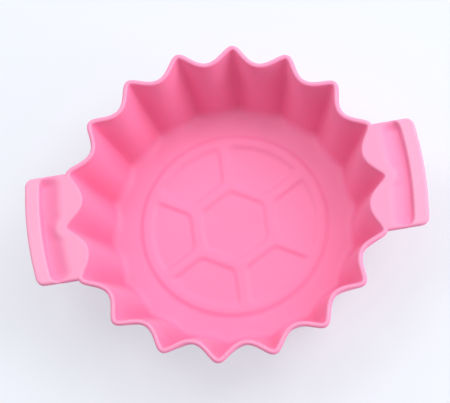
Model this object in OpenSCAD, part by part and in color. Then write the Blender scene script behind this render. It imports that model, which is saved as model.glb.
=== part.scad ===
// Fluted silicone liner for an air fryer, moulded in one piece: a round dish whose drafted wall
// is thrown into flutes, a rounded rim, two grip ears and a raised pattern on the floor.
// It stands on its flat base. X runs from ear to ear and Z is up.

/* [Dish] */
// Width across opposite flute tips at the rim
rim_d = 100; // [92:1:130]
// Width across opposite flute tips at the base, before its edge is rounded
base_d = 78; // [74:1:88]
// Height from the table to the top of the rim
rim_h = 27; // [18:1:45]
// Thickness of the wall
wall_t = 1.6; // [1.2:0.1:2]
// Thickness of the floor
floor_t = 1.8; // [1.2:0.1:3]
// Radius inside the dish where the floor turns up into the wall
foot_r = 2.6; // [1:0.1:5]

/* [Flutes] */
// Number of flutes round the wall, an even number so that both ears start and end on tips
flutes = 18; // [14:2:20]
// Depth of a flute at the rim
rim_flute = 5; // [3:0.1:6.5]
// Depth of a flute where the wall meets the base
base_flute = 1.3; // [0.4:0.1:3]
// How full the inward curve between two tips is, where less is fuller
flute_curve = 1.3; // [1.15:0.05:2.5]
// How soft the tips are, as a share of half a flute
tip_softness = 0.3; // [0.25:0.01:0.5]

/* [Ears] */
// How many flutes one ear spans
ear_flutes = 2; // [2:2:4]
// How far the middle of an ear stands out from the flute tips
ear_reach = 10.8; // [9:0.2:18]
// Thickness of the ear's web
ear_t = 1.8; // [1.4:0.1:3]
// How far the outer edge of the ear bows out between its corners
ear_bow = 1.4; // [0.4:0.1:3]
// Radius of the ear's two outer corners
ear_corner = 2.4; // [1:0.1:4]
// Width of the raised lip along the ear's outer edge, down to the trough
lip_w = 5; // [3:0.1:6]
// Width of the slope from the lip down to the trough
lip_slope = 1.3; // [0.6:0.1:2]
// Height of the lip above the trough beside it
lip_h = 2.1; // [1:0.1:3]
// Depth of the trough below the rim
trough = 1.7; // [0.6:0.1:2.4]
// Width of the border along each side of the ear, where the trough rises to the rim
border_w = 3.2; // [2:0.1:5]

/* [Floor pattern] */
// Width across the middle of the raised ring
ring_d = 54; // [46:0.2:62]
// Width across opposite corners of the middle hexagon, along the middle of its ribs
hexagon_d = 26.4; // [20:0.2:32]
// Width of the ribs at half their height
rib_w = 3.5; // [2:0.1:5]
// Height of the ribs above the floor
rib_h = 0.8; // [0.4:0.1:1.5]
// How far each side of a rib leans in over its height
rib_lean = 0.6; // [0.1:0.1:0.9]
// Corner radius of the fields between the ribs, at the floor
field_r = 2; // [1:0.1:3]

/* [Hidden] */

silicone = [0.97, 0.43, 0.64];

pitch = 360 / flutes;
half_wall = wall_t / 2;

// Points along one flute, closer together at the tips, and steps across the rounded edges
flute_steps = 14;
foot_steps = 4;
rim_steps = 4;
lip_steps = 2;

// Share of an even spread in the spacing of the points, the rest follows a sine
even_share = 0.35;
// Angle either side of a point over which the wall's direction is measured
look_a = 0.05;
// Sink of one piece of the moulding into the next, so that they join
sink = 0.3;

// Depth of the ear's inner end below the rim, under the rim's rounded top
ear_tuck = 0.15;
// Radius along the ear's outer edge
lip_edge_r = 0.7;
// Points down the slope of the lip, as [share of its width, share of its drop]
slope_points = [[0, 0], [0.35, 0.15], [0.65, 0.85]];
// Points across the web, as shares of its width from the lip to the wall
web_points = [0, 0.12, 0.3, 0.55, 0.8, 1];
// Share of the web's width at which it has risen from the trough to the rim
web_level = 0.8;
// Height of the ear's section at its very side and one point in from it, as shares of the full one
side_ease = [0.5, 0.88];

spokes = 6;
spoke_pitch = 360 / spokes;
ring_r = ring_d / 2;
// Distance from the middle of a rib to the corner circles of the field beside it
set_back = rib_w / 2 + rib_lean / 2 + field_r;
// Facets of the ring and of the fields' corners, and steps along a field's side on the ring
ring_facets = 180;
field_facets = 24;
field_steps = 4;

ear_half = ear_flutes / 2;

function ease(t) = let (u = max(0, min(1, t))) u * u * (3 - 2 * u);

// How far out the wall stands at an angle, from 0 in the middle of a flute to 1 at a tip
function tip_share(a) =
    let (
        turn = a / pitch,
        away = 2 * abs(turn - round(turn)),
        soft = sqrt(away * away + tip_softness * tip_softness) - tip_softness,
        full = sqrt(1 + tip_softness * tip_softness) - tip_softness,
        u = 1 - soft / full
    )
    (flute_curve - sqrt(flute_curve * flute_curve - u * u))
        / (flute_curve - sqrt(flute_curve * flute_curve - 1));

// Radius of the middle of the wall at the rim, at the base, and at any height between
function rim_mid_r(a) = rim_d / 2 - half_wall - rim_flute * (1 - tip_share(a));
function base_mid_r(a) = base_d / 2 - half_wall - base_flute * (1 - tip_share(a));
function wall_slope(a) = (rim_mid_r(a) - base_mid_r(a)) / (rim_h - half_wall);
function mid_r(a, z) = base_mid_r(a) + wall_slope(a) * z;

function mid_point(a, z) = mid_r(a, z) * [cos(a), sin(a)];

// Level direction out of the wall
function outward(a, z) =
    let (along = mid_point(a + look_a, z) - mid_point(a - look_a, z))
    [along.y, -along.x] / norm(along);

// A point of the wall, off to one side of its middle
function wall_point(a, z, off) =
    let (p = mid_point(a, z) + off * outward(a, z))
    [p.x, p.y, z];

// A point of the rounded foot, where t runs from 0 on the flat to 1 on the wall
function foot_point(a, z, off, r, t) =
    let (
        sweep = 90 - atan(wall_slope(a)),
        turn = sweep * t,
        inset = r * (tan(sweep / 2) - sin(turn)),
        p = wall_point(a, z, off)
    )
    [p.x - inset * cos(a), p.y - inset * sin(a), z + r * (1 - cos(turn))];

// A point over the rounded rim, from 0 degrees outside to 180 inside
function rim_point(a, turn) =
    let (
        p = mid_point(a, rim_h - half_wall)
            + half_wall * cos(turn) * outward(a, rim_h - half_wall)
    )
    [p.x, p.y, rim_h - half_wall + half_wall * sin(turn)];

// Angles of the points along the flutes from one tip to another
function flute_angles(first, last) = [
    for (f = [first:1:last - 1])
        for (j = [0:1:flute_steps - 1])
            let (
                v = 2 * j / flute_steps - 1,
                u = even_share * v + (1 - even_share) * sin(90 * v)
            )
            pitch * (f + (1 + u) / 2)
];

// A closed skin over rings of equally many points, with the first and last ring filled in
module skin(rings) {
    n = len(rings[0]);
    m = len(rings);
    points = [for (ring = rings) for (p = ring) p];
    sides = [
        for (i = [0:1:m - 2])
            for (j = [0:1:n - 1])
                let (
                    a = i * n + j,
                    b = i * n + (j + 1) % n,
                    c = a + n,
                    d = b + n
                )
                each [[a, c, b], [b, c, d]]
    ];
    first = [for (j = [0:1:n - 1]) j];
    last = [for (j = [n - 1:-1:0]) (m - 1) * n + j];
    polyhedron(points = points, faces = concat([first, last], sides), convexity = 8);
}

// The fluted dish, skinned from under its base up the outside, over the rim and down to the floor
module dish() {
    angles = flute_angles(0, flutes);
    outer_foot_r = foot_r + floor_t;
    outer_foot = [
        for (k = [0:1:foot_steps])
            [for (a = angles) foot_point(a, 0, half_wall, outer_foot_r, k / foot_steps)]
    ];
    over_rim = [
        for (k = [0:1:rim_steps])
            [for (a = angles) rim_point(a, 180 * k / rim_steps)]
    ];
    inner_foot = [
        for (k = [foot_steps:-1:0])
            [for (a = angles) foot_point(a, floor_t, -half_wall, foot_r, k / foot_steps)]
    ];
    skin(concat(outer_foot, over_rim, inner_foot));
}

// How far the ear stands out at a distance y from its middle, with its bow and rounded corner
function ear_edge(y, half_w) =
    let (
        bow_r = (half_w * half_w + ear_bow * ear_bow) / (2 * ear_bow),
        past = max(0, abs(y) - (half_w - ear_corner)),
        corner = ear_corner - sqrt(max(0, ear_corner * ear_corner - past * past))
    )
    rim_d / 2 + ear_reach - bow_r + sqrt(bow_r * bow_r - y * y) - corner;

// Height of the web from the rim at a share of its width, where open is 1 in the trough and 0
// at the ear's sides
function web_z(share, open) = -ear_tuck - (trough - ear_tuck) * open * (1 - ease(share / web_level));

// Section of the ear across its width, as [distance in from the outer edge, height from the rim]
function ear_section(depth, open) =
    let (
        lip_z = lip_h - trough,
        drop = lip_z - web_z(0, open),
        web = depth - lip_w,
        over_edge = [
            for (k = [0:1:lip_steps])
                let (turn = 90 * k / lip_steps)
                [lip_edge_r * (1 - cos(turn)), lip_z - lip_edge_r * (1 - sin(turn))]
        ],
        lip_slopes = [for (p = slope_points) [lip_w - lip_slope * (1 - p[0]), lip_z - drop * p[1]]],
        over_web = [for (share = web_points) [lip_w + web * share, web_z(share, open)]],
        under_web = [
            for (i = [len(web_points) - 1:-1:0])
                [lip_w + web * web_points[i], web_z(web_points[i], open) - ear_t]
        ],
        under_z = web_z(0, open) - ear_t,
        under_edge = [[lip_edge_r, under_z], [0, under_z + lip_edge_r]]
    )
    concat(over_edge, lip_slopes, over_web, under_web, under_edge);

// One grip ear, skinned across its width between the middle of the wall and the lip
module ear() {
    angles = [for (a = concat(flute_angles(-ear_half, ear_half), [pitch * ear_half])) -a];
    half_w = mid_point(pitch * ear_half, rim_h).y;
    last = len(angles) - 1;
    middle = -ear_tuck - ear_t / 2;
    slices = [
        for (i = [0:1:last])
            let (
                root = mid_point(angles[i], rim_h),
                edge = ear_edge(root.y, half_w),
                depth = edge - root.x,
                lean = wall_slope(angles[i]),
                open = ease((half_w - abs(root.y)) / border_w),
                from_side = min(i, last - i),
                height = from_side < len(side_ease) ? side_ease[from_side] : 1
            )
            [
                for (s = ear_section(depth, open))
                    let (z = middle + (s[1] - middle) * height)
                    [edge - s[0] + min(0, z) * lean * s[0] / depth, root.y, rim_h + z]
            ]
    ];
    skin(slices);
}

// A cutter for one rounded corner of a field between the ribs
module field_cutter(x, y) {
    lean = rib_lean / rib_h;
    translate([x, y, -sink])
        cylinder(
            h = rib_h + 2 * sink,
            r1 = field_r - lean * sink,
            r2 = field_r + lean * (rib_h + sink),
            $fn = field_facets
        );
}

// The field inside the hexagon
module middle_field() {
    corner_r = hexagon_d / 2 - set_back / cos(spoke_pitch / 2);
    hull()
        for (k = [0:1:spokes - 1])
            rotate([0, 0, spoke_pitch * (k + 0.5)])
                field_cutter(corner_r, 0);
}

// One of the fields between two spokes, the hexagon and the ring
module outer_field() {
    near_x = hexagon_d / 2 * cos(spoke_pitch / 2) + set_back;
    near_y = (near_x * sin(spoke_pitch / 2) - set_back) / cos(spoke_pitch / 2);
    far_r = ring_r - set_back;
    far_a = spoke_pitch / 2 - asin(set_back / far_r);
    hull() {
        for (side = [-1, 1])
            field_cutter(near_x, side * near_y);
        for (k = [0:1:field_steps])
            let (a = far_a * (2 * k / field_steps - 1))
                field_cutter(far_r * cos(a), far_r * sin(a));
    }
}

// The raised ring, spokes and hexagon, cut from a low disc
module floor_pattern() {
    foot = ring_r + rib_w / 2 + rib_lean / 2;
    top = foot - rib_lean;
    difference() {
        rotate_extrude($fn = ring_facets)
            polygon([[0, -sink], [foot, -sink], [foot, 0], [top, rib_h], [0, rib_h]]);
        middle_field();
        for (k = [0:1:spokes - 1])
            rotate([0, 0, spoke_pitch * k])
                outer_field();
    }
}

// The whole moulding
module liner() {
    color(silicone)
        union() {
            dish();
            ear();
            mirror([1, 0, 0])
                ear();
            translate([0, 0, floor_t])
                floor_pattern();
        }
}

liner();
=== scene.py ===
# A small fluted silicone liner for an air fryer, dressed for a plain studio picture.
# Lengths are in metres. X runs from ear to ear, Z is up and the dish stands on Z = 0.
import math

import bmesh
import bpy
import numpy as np
from mathutils import Matrix, Vector


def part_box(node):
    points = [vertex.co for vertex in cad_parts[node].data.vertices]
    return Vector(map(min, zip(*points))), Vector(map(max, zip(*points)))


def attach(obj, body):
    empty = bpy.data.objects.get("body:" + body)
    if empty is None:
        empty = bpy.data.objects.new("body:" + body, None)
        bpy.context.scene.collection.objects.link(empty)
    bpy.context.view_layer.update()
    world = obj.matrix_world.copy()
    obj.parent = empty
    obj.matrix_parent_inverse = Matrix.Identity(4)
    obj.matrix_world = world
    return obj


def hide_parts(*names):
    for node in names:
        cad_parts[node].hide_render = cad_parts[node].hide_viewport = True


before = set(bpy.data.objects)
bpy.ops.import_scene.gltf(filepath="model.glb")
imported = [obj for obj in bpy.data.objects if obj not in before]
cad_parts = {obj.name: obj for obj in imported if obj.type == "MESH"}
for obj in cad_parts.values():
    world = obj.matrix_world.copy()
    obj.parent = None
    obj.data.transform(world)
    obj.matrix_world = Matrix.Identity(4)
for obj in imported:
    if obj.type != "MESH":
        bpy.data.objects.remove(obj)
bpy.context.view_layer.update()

mm = 0.001
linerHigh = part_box("liner")[1]

# what a user would change on the moulded dish
dish = {
    "rimWidth": 100 * mm,       # across opposite flute tips
    "baseWidth": 78 * mm,       # the same at the table
    "rimHeight": 27 * mm,
    "wall": 1.6 * mm,
    "floor": 1.8 * mm,
    "footRadius": 3.4 * mm,     # inside, where the floor turns up
    "outerFoot": 4.4 * mm,      # the same outside
    "flutes": 18,
    "rimFlute": 5 * mm,         # depth of a flute at the rim
    "baseFlute": 1.3 * mm,      # and at the base
    "fluteCurve": 1.3,          # less is fuller
    "tipSoftness": 0.3,
}

pitch = 2 * math.pi / dish["flutes"]
halfWall = dish["wall"] / 2
rimTop = dish["rimHeight"]
rimMiddle = rimTop - halfWall
skinInset = 0.04 * mm           # keeps the dressed skin inside the solid's box


def smoothStep(low, high, x):
    t = np.clip((x - low) / (high - low), 0, 1)
    return t * t * (3 - 2 * t)


# the wall
def tipShare(angle):
    # 1 at a tip, 0 halfway between two tips
    turn = angle / pitch
    away = 2 * np.abs(turn - np.round(turn))
    soft = dish["tipSoftness"]
    nearness = (np.sqrt(away**2 + soft**2) - soft) / (math.sqrt(1 + soft**2) - soft)
    curve = dish["fluteCurve"]
    fall = curve - np.sqrt(curve**2 - (1 - nearness) ** 2)
    return fall / (curve - math.sqrt(curve**2 - 1))


def midRadius(angle, z):
    share = 1 - tipShare(angle)
    atBase = dish["baseWidth"] / 2 - halfWall - dish["baseFlute"] * share
    atRim = dish["rimWidth"] / 2 - halfWall - dish["rimFlute"] * share - skinInset
    return atBase + (atRim - atBase) * z / rimMiddle


def wallSlope(angle):
    return (midRadius(angle, rimTop) - midRadius(angle, 0)) / rimTop


def midPoint(angle, z):
    r = midRadius(angle, z)
    return np.stack([r * np.cos(angle), r * np.sin(angle)], 1)


def outwardOf(angle, z):
    nudge = 0.0005              # radians
    along = midPoint(angle + nudge, z) - midPoint(angle - nudge, z)
    side = np.stack([along[:, 1], -along[:, 0]], 1)
    return side / np.linalg.norm(side, axis=1)[:, None]


def wallRow(angle, z, off):
    flat = midPoint(angle, z) + off * outwardOf(angle, z)
    return np.column_stack([flat, np.full(len(angle), float(z))])


def rimRow(angle, turn, drop):
    # turn runs from 0 outside, over the crest, to half a circle inside
    # drop is how far the rounding comes down from the crest
    flat = midPoint(angle, rimMiddle) + halfWall * math.cos(turn) * outwardOf(angle, rimMiddle)
    return np.column_stack([flat, np.full(len(angle), rimTop - drop * (1 - math.sin(turn)))])


def footRow(angle, z, off, radius, t):
    # t runs from 0 on the flat to 1 on the wall
    sweep = math.pi / 2 - np.arctan(wallSlope(angle))
    turn = sweep * t
    inset = radius * (np.tan(sweep / 2) - np.sin(turn))
    row = wallRow(angle, z, off)
    row[:, 0] -= inset * np.cos(angle)
    row[:, 1] -= inset * np.sin(angle)
    row[:, 2] += radius * (1 - np.cos(turn))
    return row


def footTop(angle, z, off, radius):
    return float(footRow(angle, z, off, radius, 1)[:, 2].max())


# the raised pattern on the floor
pattern = {
    "ringWidth": 54 * mm,
    "hexagonWidth": 26.4 * mm,   # across corners, along the middle of the ribs
    "ribWidth": 3.5 * mm,
    "ribHeight": 0.65 * mm,
    "ribLean": 1.8 * mm,         # width of a rib's sloping side
    "ribCrown": 0.12,            # share of its height that a rib falls towards its sides
    "cornerSoftness": 1.5 * mm,  # how much the fields' corners round off
    "spokes": 6,
}


def softMin(a, b, softness):
    # the smaller of two distances, blended where they are nearly the same
    share = np.clip(0.5 + 0.5 * (b - a) / softness, 0, 1)
    return b + (a - b) * share - softness * share * (1 - share)


def ribHeightAt(x, y):
    # distance to the ring, the nearest spoke and the nearest side of the hexagon
    r = np.hypot(x, y)
    part = 2 * math.pi / pattern["spokes"]
    angle = np.arctan2(y, x)
    fromMiddle = angle - part * np.round(angle / part)  # 0 in the middle of a field
    apothem = pattern["hexagonWidth"] / 2 * math.cos(part / 2)
    across = r * np.cos(fromMiddle)
    aside = r * np.abs(np.sin(fromMiddle))
    toHexagon = across - apothem
    toSpoke = across * math.sin(part / 2) - aside * math.cos(part / 2)
    toRing = pattern["ringWidth"] / 2 - r
    soft = pattern["cornerSoftness"]
    outerField = softMin(softMin(toHexagon, toSpoke, soft), toRing, soft)
    # inside the hexagon the two nearest sides meet at a corner
    nextAngle = np.abs(fromMiddle) - part
    nextSide = apothem - r * np.cos(nextAngle)
    innerField = softMin(-toHexagon, nextSide, soft)
    distance = np.where(toHexagon > 0, outerField, innerField)
    distance = np.where(toRing < 0, -toRing, np.abs(distance))
    half, lean = pattern["ribWidth"] / 2, pattern["ribLean"]
    rise = 1 - smoothStep(half - lean / 2, half + lean / 2, distance)
    crown = 1 - pattern["ribCrown"] * np.clip(distance / half, 0, 1) ** 2
    return pattern["ribHeight"] * rise * crown


def floorRow(angle, radius, edgeRow):
    # rows near the wall follow its flutes, rows further in are true circles
    edge = np.hypot(edgeRow[:, 0], edgeRow[:, 1])
    ringEdge = (pattern["ringWidth"] + pattern["ribWidth"]) / 2
    r = radius + (edge - edge.min()) * smoothStep(ringEdge, edge.min(), radius)
    x, y = r * np.cos(angle), r * np.sin(angle)
    return np.column_stack([x, y, dish["floor"] + ribHeightAt(x, y)])


# the two grip ears
ears = {
    "flutes": 2,                # how many flutes an ear spans
    "thickness": 1.8 * mm,
    "bow": 1.4 * mm,            # how far the outer edge bows out
    "corner": 2.4 * mm,
    "lipWidth": 5.4 * mm,       # down to the trough
    "lipSlope": 1.4 * mm,       # the part of it that slopes down
    "lipHeight": 2.1 * mm,      # above the trough
    "trough": 1.7 * mm,         # below the rim
    "webRun": 8.0 * mm,         # most width that the web takes to rise to the rim again
    "webLevel": 0.8,            # share of it at which the web is back at the rim
    "border": 3.2 * mm,         # where the trough rises at the ear's sides
    "edge": 0.75 * mm,          # roundness of the outer edge
    "sideEdge": 0.9 * mm,       # roundness of the two sides
    "rootBlend": 2.7 * mm,      # width over which the rounded sides run into the rim's own rounding
    "rootFillet": 1.6 * mm,     # under the ear, where it leaves the wall
}

earReach = linerHigh[0] - dish["rimWidth"] / 2


def earEdge(y, halfWidth):
    bow = ears["bow"]
    bowRadius = (halfWidth**2 + bow**2) / (2 * bow)
    corner = ears["corner"]
    past = np.clip(np.abs(y) - (halfWidth - corner), 0, corner)
    cut = corner - np.sqrt(corner**2 - past**2)
    return dish["rimWidth"] / 2 + earReach - skinInset - bowRadius + np.sqrt(bowRadius**2 - y**2) - cut


def edgeRounding(s):
    edge = ears["edge"]
    out = np.clip(edge - s, 0, edge)
    return edge - np.sqrt(edge**2 - out**2)


def earHeights(s, depth, trough):
    # top and underside, measured from the rim, at a distance s in from the outer edge
    lip, slope = ears["lipWidth"], ears["lipSlope"]
    share = (s - lip) / np.minimum(depth - lip, ears["webRun"])
    web = -trough * (1 - smoothStep(0, ears["webLevel"], share))
    lipTop = ears["lipHeight"] - ears["trough"]
    top = web + (lipTop - web) * (1 - smoothStep(lip - slope, lip, s)) - edgeRounding(s)
    return top, web - ears["thickness"] + edgeRounding(s)


# how finely the skin is laid out, in rows of points unless a note says otherwise
detail = {
    "flute": 40,                      # points along one flute
    "evenShare": 0.45,                # share of even spacing, the rest crowds the tips
    "rim": 6,                         # over each half of the rounded rim
    "wall": 9,
    "foot": 8,
    "fillet": (0.25, 0.5, 0.75, 1),   # shares of the way down the fillet under an ear
    "web": 21,                        # across an ear, from the wall to its lip
    "lipSlope": 8,
    "lipTop": 7,
    "earEdge": 6,
    "floor": 39,                      # from the foot to the hexagon
    "hexagon": 31,                    # from there to the hub
    "hub": 4 * mm,                    # radius of the plain middle
    "hubShare": 0.8,                  # share of it that one flat face fills
    "base": (0.985, 0.93, 0.85),      # rings under the base, as shares of its width
    "weld": 0.002 * mm,               # points nearer than this become one
}


def fluteAngles():
    steps = detail["flute"]
    v = 2 * np.arange(steps) / steps - 1
    even = detail["evenShare"]
    within = (1 + even * v + (1 - even) * np.sin(v * math.pi / 2)) / 2
    return np.concatenate([pitch * (f + within) for f in range(dish["flutes"])])


def earDistances(depth):
    # distances in from the outer edge, one row for each, from the wall out
    lip, slope, edge = ears["lipWidth"], ears["lipSlope"], ears["edge"]
    level = np.ones(len(depth))
    web = [depth - (depth - lip) * t for t in np.linspace(0, 1, detail["web"] + 1)]
    down = [level * (lip - slope * t) for t in np.linspace(0, 1, detail["lipSlope"] + 1)]
    top = [level * s for s in np.linspace(lip - slope, edge, detail["lipTop"] + 1)]
    turns = np.linspace(0, math.pi / 2, detail["earEdge"] + 1)
    rounded = [level * edge * (1 - math.sin(turn)) for turn in turns]
    return web + down[1:] + top[1:] + rounded[1:]


# stitching rows of points into faces
class Skin:
    def __init__(self):
        self.points = []
        self.faces = []
        self.fluteShade = []        # how deep in a flute each point lies, for the painted shade in its colour

    def add(self, row, fluteShade=None):
        first = len(self.points)
        self.points.extend(map(tuple, row))
        self.fluteShade.extend(np.zeros(len(row)) if fluteShade is None else fluteShade)
        return np.arange(first, first + len(row))

    def join(self, last, new, closed=True, skip=()):
        # a closed row runs all the way round the dish
        for i in range(len(last) if closed else len(last) - 1):
            if i not in skip:
                j = (i + 1) % len(last)
                self.faces.append((last[i], last[j], new[j], new[i]))

    def grow(self, last, row, fluteShade=None, closed=True):
        new = self.add(row, fluteShade)
        self.join(last, new, closed)
        return new

    def halve(self, last, row):
        # the new row has half as many points as the last one
        new = self.add(row)
        for i, near in enumerate(new):
            a0, a1, a2 = last[2 * i], last[2 * i + 1], last[(2 * i + 2) % len(last)]
            far = new[(i + 1) % len(new)]
            self.faces += [(a0, a1, near), (a1, far, near), (a1, a2, far)]
        return new

    def cap(self, last):
        self.faces.append(tuple(last))


def rimOutside(skin, angle):
    # crest to the outside of the wall, one list of point numbers for each row
    drop = ears["thickness"] / 2
    turns = np.linspace(math.pi / 2, 0, detail["rim"] + 1)
    rows = [skin.add(rimRow(angle, turn, drop)) for turn in turns]
    below = ears["thickness"] + ears["rootFillet"]
    for t in detail["fillet"]:
        # spaced like the fillet under the ears, which meets these rows at the ears' sides
        z = rimTop - drop + (drop - below) * t**2
        rows.append(skin.add(wallRow(angle, z, halfWall)))
    return rows


def makeEar(skin, columns, rows, points, side):
    # columns are the rim's points from one side of the ear to the other
    flip = np.array([side, 1])
    wall = points[rows[detail["rim"]][columns]][:, :2] * flip
    y = wall[:, 1]
    halfWidth = abs(y[0])
    edge = np.column_stack([earEdge(y, halfWidth), y])
    depth = edge[:, 0] - wall[:, 0]
    fromSide = halfWidth - np.abs(y)
    trough = ears["trough"] * smoothStep(0, ears["border"], fromSide)
    past = np.clip(1 - fromSide / ears["sideEdge"], 0, 1)
    full = np.sqrt(1 - past**2)  # share of the ear's thickness, less at its rounded sides
    drop = ears["thickness"] / 2

    def place(s, z):
        flat = edge - (edge - wall) * (s / depth)[:, None]
        return np.column_stack([flat * flip, rimTop + z])

    def heights(s):
        top, under = earHeights(s, depth, trough)
        atWall = 1 - smoothStep(0, ears["rootBlend"], depth - s)
        middle = (top + under) / 2 * (1 - atWall) - drop * atWall
        return middle + full * (top - middle), middle + full * (under - middle)

    # from the crest of the rim out over the top
    last = rows[0][columns]
    crest = points[last][:, :2]
    start = heights(depth)[0]
    for turn in np.linspace(0, math.pi / 2, detail["rim"] + 1)[1:-1]:
        flat = crest + math.sin(turn) * (wall * flip - crest)
        row = np.column_stack([flat, rimTop + start * (1 - math.cos(turn))])
        last = skin.grow(last, row, closed=False)
    distances = earDistances(depth)
    for s in distances:
        last = skin.grow(last, place(s, heights(s)[0]), closed=False)

    # back underneath, then a fillet down onto the wall
    root = depth - ears["rootFillet"] * full
    for s in reversed(distances):
        s = np.minimum(s, root)
        last = skin.grow(last, place(s, heights(s)[1]), closed=False)
    begin = place(root, heights(root)[1])
    corner = np.column_stack([wall * flip, begin[:, 2]])
    end = points[rows[-1][columns]]
    ends = [0, -1]
    for t, wallIds in zip(detail["fillet"], rows[detail["rim"] + 1:]):
        curve = (1 - t) ** 2 * begin + 2 * t * (1 - t) * corner + t**2 * end
        curve[ends] = points[wallIds[columns[ends]]]  # meets the wall's own points at the sides
        last = skin.grow(last, curve, closed=False)


def makeRimAndEars(skin, angle):
    rows = rimOutside(skin, angle)
    points = np.array(skin.points)
    half = ears["flutes"] * detail["flute"] // 2
    underEars = set()
    for side, middle in ((1, 0), (-1, len(angle) // 2)):
        columns = np.arange(middle - half, middle + half + 1) % len(angle)
        underEars.update(columns[:-1].tolist())
        makeEar(skin, columns, rows, points, side)
    for upper, lower in zip(rows, rows[1:]):
        skin.join(upper, lower, skip=underEars)
    return rows[0], rows[-1]


def makeOutside(skin, angle, last):
    # down the wall, round the foot and across the flat base
    foot = dish["outerFoot"]
    top = rimTop - ears["thickness"] - ears["rootFillet"]
    bottom = footTop(angle, 0, halfWall, foot)
    for z in np.linspace(top, bottom, detail["wall"] + 1)[1:-1]:
        last = skin.grow(last, wallRow(angle, z, halfWall))
    for t in np.linspace(1, 0, detail["foot"] + 1):
        row = footRow(angle, 0, halfWall, foot, t)
        last = skin.grow(last, row)
    first, *others = detail["base"]
    last = skin.grow(last, row * (first, first, 1))
    for share in others:
        row = row[::2]
        last = skin.halve(last, row * (share, share, 1))
    skin.cap(last)


def makeInside(skin, angle, last):
    # over the rim, down the wall and round the foot
    for turn in np.linspace(math.pi / 2, math.pi, detail["rim"] + 1)[1:]:
        last = skin.grow(last, rimRow(angle, turn, halfWall))
    floor, foot = dish["floor"], dish["footRadius"]
    bottom = footTop(angle, floor, -halfWall, foot)
    # painted shade: its share follows how deep in a flute a point lies, grows down the wall and fades
    # along the foot
    fluteShade = tipShare(angle)
    for z in np.linspace(rimMiddle, bottom, detail["wall"] + 1)[1:-1]:
        depth = smoothStep(0, rimTop / 2, rimTop - z)
        last = skin.grow(last, wallRow(angle, z, -halfWall), fluteShade * depth)
    footFade = 0.7              # way along the foot at which the painted flute shade fades
    for t in np.linspace(1, 0, detail["foot"] + 1):
        row = footRow(angle, floor, -halfWall, foot, t)
        last = skin.grow(last, row, fluteShade * smoothStep(0, footFade, t))
    makeFloor(skin, angle, last, row)


def makeFloor(skin, angle, last, edgeRow):
    # rows have half as many points from the hexagon inwards, and half again at the hub
    start = np.hypot(edgeRow[:, 0], edgeRow[:, 1]).min()
    change = pattern["hexagonWidth"] / 2 + pattern["ribWidth"]
    for radius in np.linspace(start, change, detail["floor"] + 1)[1:]:
        last = skin.grow(last, floorRow(angle, radius, edgeRow))
    angle, edgeRow = angle[::2], edgeRow[::2]
    radii = np.linspace(change, detail["hub"], detail["hexagon"] + 1)[1:]
    last = skin.halve(last, floorRow(angle, radii[0], edgeRow))
    for radius in radii[1:]:
        last = skin.grow(last, floorRow(angle, radius, edgeRow))
    hub = detail["hub"] * detail["hubShare"]
    last = skin.halve(last, floorRow(angle[::2], hub, edgeRow[::2]))
    skin.cap(last)


def addObject(name, data):
    thing = bpy.data.objects.new(name, data)
    bpy.context.scene.collection.objects.link(thing)
    return thing


def skinObject(name, skin):
    mesh = bpy.data.meshes.new(name)
    mesh.from_pydata(skin.points, [], [tuple(map(int, face)) for face in skin.faces])
    # the painted flute shade goes to the material as a point attribute
    mesh.attributes.new("fluteShade", "FLOAT", "POINT").data.foreach_set("value", skin.fluteShade)
    body = bmesh.new()
    body.from_mesh(mesh)
    bmesh.ops.remove_doubles(body, verts=body.verts, dist=detail["weld"])
    bmesh.ops.recalc_face_normals(body, faces=body.faces)
    body.to_mesh(mesh)
    openEdges = sum(1 for edge in body.edges if len(edge.link_faces) != 2)
    triangles = sum(len(face.verts) - 2 for face in body.faces)
    body.free()
    mesh.shade_smooth()
    print("liner skin:", triangles, "triangles,", openEdges, "open edges")
    return addObject(name, mesh)


def makeLiner():
    angle = fluteAngles()
    skin = Skin()
    crest, underRim = makeRimAndEars(skin, angle)
    print("rim and ears laid out")
    makeOutside(skin, angle, underRim)
    makeInside(skin, angle, crest)
    print("dish and floor pattern laid out")
    return skinObject("fluted_liner", skin)


# what a user would change on the silicone
siliconeLook = {
    "color": (0.92, 0.235, 0.445),
    "paler": (0.94, 0.255, 0.475),      # faint clouds in the colour
    "clouds": {"size": 14 * mm, "fineness": 3},
    "paintedFluteShade": (0.86, 0.175, 0.36),  # painted shade: a deeper pink deep in the flutes, for light bounced from wall to wall
    "paintedRimLight": (0.96, 0.40, 0.58),      # painted light: the thin rim and the ears' highest faces read paler, for light through the thin silicone and light falling on them
    "paintedRimLightShare": 0.8,
    "paintedRimLightBand": (-0.7 * mm, 0.5 * mm),   # heights from the rim's top between which it comes in
    "roughness": (0.42, 0.56),
    "patches": {"size": 3.5 * mm, "fineness": 4},  # duller places in the satin gloss
    "waves": {"size": 6 * mm, "fineness": 2, "height": 0.08 * mm, "strength": 0.25},
    "grain": {"size": 0.22 * mm, "fineness": 3, "height": 0.015 * mm, "strength": 0.35},
    "shader": {
        "IOR": 1.41,
        "Subsurface Weight": 0.2,
        "Subsurface Radius": (1.0, 0.35, 0.4),
        "Subsurface Scale": 1.6 * mm,
        "Sheen Weight": 0.12,
        "Sheen Roughness": 0.5,
    },
}


def addNode(tree, kind, inputs=None, **settings):
    node = tree.nodes.new(kind)
    for name, value in settings.items():
        setattr(node, name, value)
    for name, value in (inputs or {}).items():
        node.inputs[name].default_value = value
    return node


def addTint(tree, tint, share):
    # the colour that the tint goes over comes in at A
    mix = addNode(tree, "ShaderNodeMix", data_type="RGBA")
    mix.inputs["B"].default_value = (*tint, 1)
    tree.links.new(share, mix.inputs["Factor"])
    return mix


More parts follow.
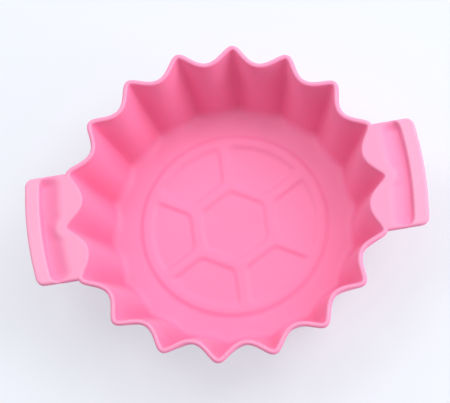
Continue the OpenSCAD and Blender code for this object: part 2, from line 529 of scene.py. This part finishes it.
def siliconeColor(tree, look, place, noise):
    link = tree.links.new
    clouds = addTint(tree, look["paler"], noise(look["clouds"]))
    clouds.inputs["A"].default_value = (*look["color"], 1)

    # painted shade: richer and darker deep in the flutes and at their feet
    fluteShade = addNode(tree, "ShaderNodeAttribute", attribute_name="fluteShade")
    paintedShadeMix = addTint(tree, look["paintedFluteShade"], fluteShade.outputs["Fac"])
    link(clouds.outputs["Result"], paintedShadeMix.inputs["A"])

    # painted light: paler along the rim and over the ears' lips and lobes, by height
    low, high = look["paintedRimLightBand"]
    ends = {"From Min": rimTop + low, "From Max": rimTop + high, "To Max": look["paintedRimLightShare"]}
    band = addNode(tree, "ShaderNodeMapRange", ends, interpolation_type="SMOOTHSTEP")
    split = addNode(tree, "ShaderNodeSeparateXYZ")
    link(place, split.inputs["Vector"])
    link(split.outputs["Z"], band.inputs["Value"])
    rim = addTint(tree, look["paintedRimLight"], band.outputs["Result"])
    link(paintedShadeMix.outputs["Result"], rim.inputs["A"])
    return rim.outputs["Result"]


def addBump(tree, look, noise):
    bump = addNode(tree, "ShaderNodeBump", {"Strength": look["strength"], "Distance": look["height"]})
    tree.links.new(noise(look), bump.inputs["Height"])
    return bump


def siliconeMaterial(look):
    material = bpy.data.materials.new("satin_silicone")
    material.use_nodes = True
    tree = material.node_tree
    link = tree.links.new
    shader = tree.nodes["Principled BSDF"]
    for name, value in look["shader"].items():
        shader.inputs[name].default_value = value
    place = addNode(tree, "ShaderNodeTexCoord").outputs["Object"]

    def noise(kind):
        inputs = {"Scale": 1 / kind["size"], "Detail": kind["fineness"]}
        node = addNode(tree, "ShaderNodeTexNoise", inputs)
        link(place, node.inputs["Vector"])
        return node.outputs["Fac"]

    link(siliconeColor(tree, look, place, noise), shader.inputs["Base Color"])

    # satin gloss, broken up a little
    low, high = look["roughness"]
    gloss = addNode(tree, "ShaderNodeMapRange", {"To Min": low, "To Max": high})
    link(noise(look["patches"]), gloss.inputs["Value"])
    link(gloss.outputs["Result"], shader.inputs["Roughness"])

    # moulded grain over slow waves
    waves = addBump(tree, look["waves"], noise)
    grain = addBump(tree, look["grain"], noise)
    link(waves.outputs["Normal"], grain.inputs["Normal"])
    link(grain.outputs["Normal"], shader.inputs["Normal"])
    return material


# camera, at the angle that the picture was taken from
view = {
    "elevation": 71.5,
    "azimuth": 13.5,            # turn about Z, from straight in front of the dish
    "roll": -22,
    "distance": 1.0,
    "width": 0.1353,            # what the frame takes in, side to side
    "aim": (0, 0, rimTop),      # the middle of the dish's mouth
}


def viewAxes():
    # right and up in the picture, and back from the dish to the camera
    elevation = math.radians(view["elevation"])
    azimuth = math.radians(view["azimuth"])
    roll = math.radians(view["roll"])
    reach = math.cos(elevation)
    back = Vector((math.sin(azimuth) * reach, -math.cos(azimuth) * reach, math.sin(elevation)))
    level = Vector((0, 0, 1)).cross(back).normalized()
    upright = back.cross(level)
    right = math.cos(roll) * level + math.sin(roll) * upright
    up = math.cos(roll) * upright - math.sin(roll) * level
    return right, up, back


def makeCamera():
    right, up, back = viewAxes()
    data = bpy.data.cameras.new("camera")
    data.sensor_fit = "HORIZONTAL"
    data.sensor_width = 36
    data.lens = data.sensor_width * view["distance"] / view["width"]
    data.clip_start = 0.05
    data.clip_end = 20
    camera = addObject("camera", data)
    turn = Matrix((right, up, back)).transposed()
    camera.matrix_world = Matrix.Translation(Vector(view["aim"]) + back * view["distance"]) @ turn.to_4x4()
    bpy.context.scene.camera = camera


# soft round lamps, each placed by the picture's own right, up and towards-the-camera
lampDistance = 0.9
lampSize = 0.5
lamps = {
    "key": {"way": (0.7, 0.7, 0.8), "power": 3.75},
    "side": {"way": (1, 0, 0.4), "power": 2.55},
    "farSide": {"way": (-0.7, 0.7, 0.8), "power": 2.55},
    "top": {"way": (0, 1, 0.65), "power": 1.35},
    "overhead": {"way": (0.4, 0.4, 2), "power": 0.7},
}


def makeLamps():
    right, up, back = viewAxes()
    for name, lamp in lamps.items():
        way = (right * lamp["way"][0] + up * lamp["way"][1] + back * lamp["way"][2]).normalized()
        data = bpy.data.lights.new(name, "AREA")
        data.shape = "DISK"
        data.size = lampSize
        data.energy = lamp["power"]
        light = addObject(name, data)
        light.location = Vector(view["aim"]) + way * lampDistance
        light.rotation_euler = way.to_track_quat("Z", "Y").to_euler()


# a pale table, and even light from all around
backdrop = {
    "color": (0.896, 0.930, 1.0),   # pale blue white
    "shown": 0.6,                   # share of plain colour that the camera sees on the table
    "shade": 0.9,                   # the table's own colour, as a share of the backdrop's
    "worldStrength": 0.36,
    "tableSize": 6.0,
    "tableLevel": -0.02 * mm,       # a hair below the base, so that the two don't coincide
}


def seenDirectly(tree):
    # camera, glossy and transmission rays see the plain backdrop
    path = addNode(tree, "ShaderNodeLightPath")
    glossy = addNode(tree, "ShaderNodeMath", operation="MAXIMUM")
    either = addNode(tree, "ShaderNodeMath", operation="MAXIMUM")
    tree.links.new(path.outputs["Is Camera Ray"], glossy.inputs[0])
    tree.links.new(path.outputs["Is Glossy Ray"], glossy.inputs[1])
    tree.links.new(glossy.outputs[0], either.inputs[0])
    tree.links.new(path.outputs["Is Transmission Ray"], either.inputs[1])
    return either.outputs[0]


def mixShaders(tree, share, lit, plain, output):
    mix = addNode(tree, "ShaderNodeMixShader")
    tree.links.new(share, mix.inputs["Fac"])
    tree.links.new(lit.outputs[0], mix.inputs[1])
    tree.links.new(plain.outputs[0], mix.inputs[2])
    tree.links.new(mix.outputs[0], output.inputs["Surface"])


def makeWorld():
    world = bpy.data.worlds.new("studio")
    bpy.context.scene.world = world
    world.use_nodes = True
    tree = world.node_tree
    tree.nodes.clear()
    strength = backdrop["worldStrength"]
    light = addNode(tree, "ShaderNodeBackground", {"Color": (1, 1, 1, 1), "Strength": strength})
    plain = addNode(tree, "ShaderNodeBackground", {"Color": (*backdrop["color"], 1)})
    mixShaders(tree, seenDirectly(tree), light, plain, addNode(tree, "ShaderNodeOutputWorld"))


def tableMaterial():
    material = bpy.data.materials.new("pale_table")
    material.use_nodes = True
    tree = material.node_tree
    shader = tree.nodes["Principled BSDF"]
    shader.inputs["Base Color"].default_value = (*[c * backdrop["shade"] for c in backdrop["color"]], 1)
    shader.inputs["Roughness"].default_value = 0.9
    shader.inputs["Specular IOR Level"].default_value = 0.1
    plain = addNode(tree, "ShaderNodeEmission", {"Color": (*backdrop["color"], 1)})
    share = addNode(tree, "ShaderNodeMath", {1: backdrop["shown"]}, operation="MULTIPLY")
    tree.links.new(seenDirectly(tree), share.inputs[0])
    mixShaders(tree, share.outputs[0], shader, plain, tree.nodes["Material Output"])
    return material


def makeTable():
    half = backdrop["tableSize"] / 2
    level = backdrop["tableLevel"]
    corners = [(x, y, level) for x, y in ((-half, -half), (half, -half), (half, half), (-half, half))]
    mesh = bpy.data.meshes.new("table")
    mesh.from_pydata(corners, [], [(0, 1, 2, 3)])
    mesh.materials.append(tableMaterial())
    addObject("table", mesh)


bpy.context.scene.view_settings.view_transform = "Standard"
makeCamera()
makeLamps()
makeWorld()
makeTable()
print("studio ready")

liner = makeLiner()
liner.data.materials.append(siliconeMaterial(siliconeLook))
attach(liner, "root")
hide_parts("liner")
print("liner dressed")
